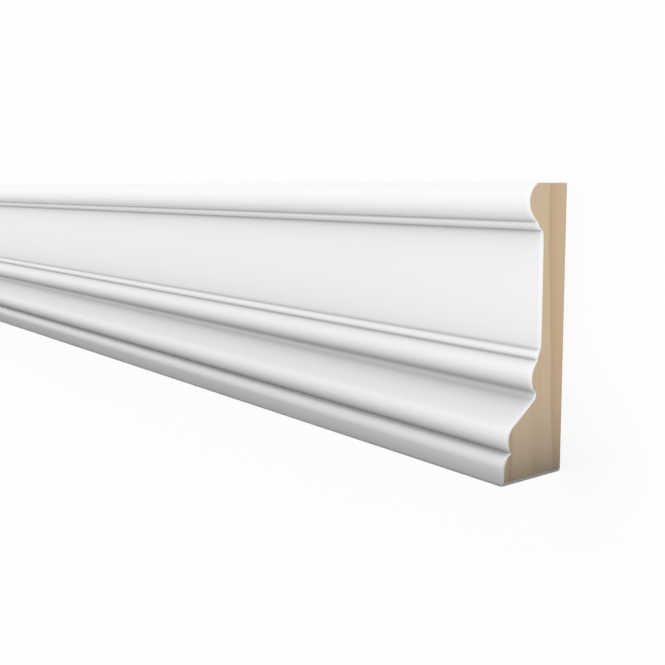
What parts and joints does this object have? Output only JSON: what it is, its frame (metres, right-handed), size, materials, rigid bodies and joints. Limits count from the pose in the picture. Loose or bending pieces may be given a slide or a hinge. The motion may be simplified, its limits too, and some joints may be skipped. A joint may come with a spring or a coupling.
{
  "type": "architrave moulding",
  "caption": "Straight painted softwood architrave with a beaded thin edge, flat field, torus, ogee and thick square outer edge, used to trim a door or window opening.",
  "frame": {"origin": "middle of the flat back, at half the length and half the width", "axes": "+X along the length, +Y across the face from the thick outer edge to the thin beaded edge, +Z out of the back through the moulded face"},
  "size_m": [2.1, 0.095, 0.028],
  "materials": {
    "painted_softwood": "satin white paint on the face and long edges, bare sawn wood on the ends and back"
  },
  "bodies": {
    "root": {"architrave": "painted_softwood"}
  },
  "joints": []
}
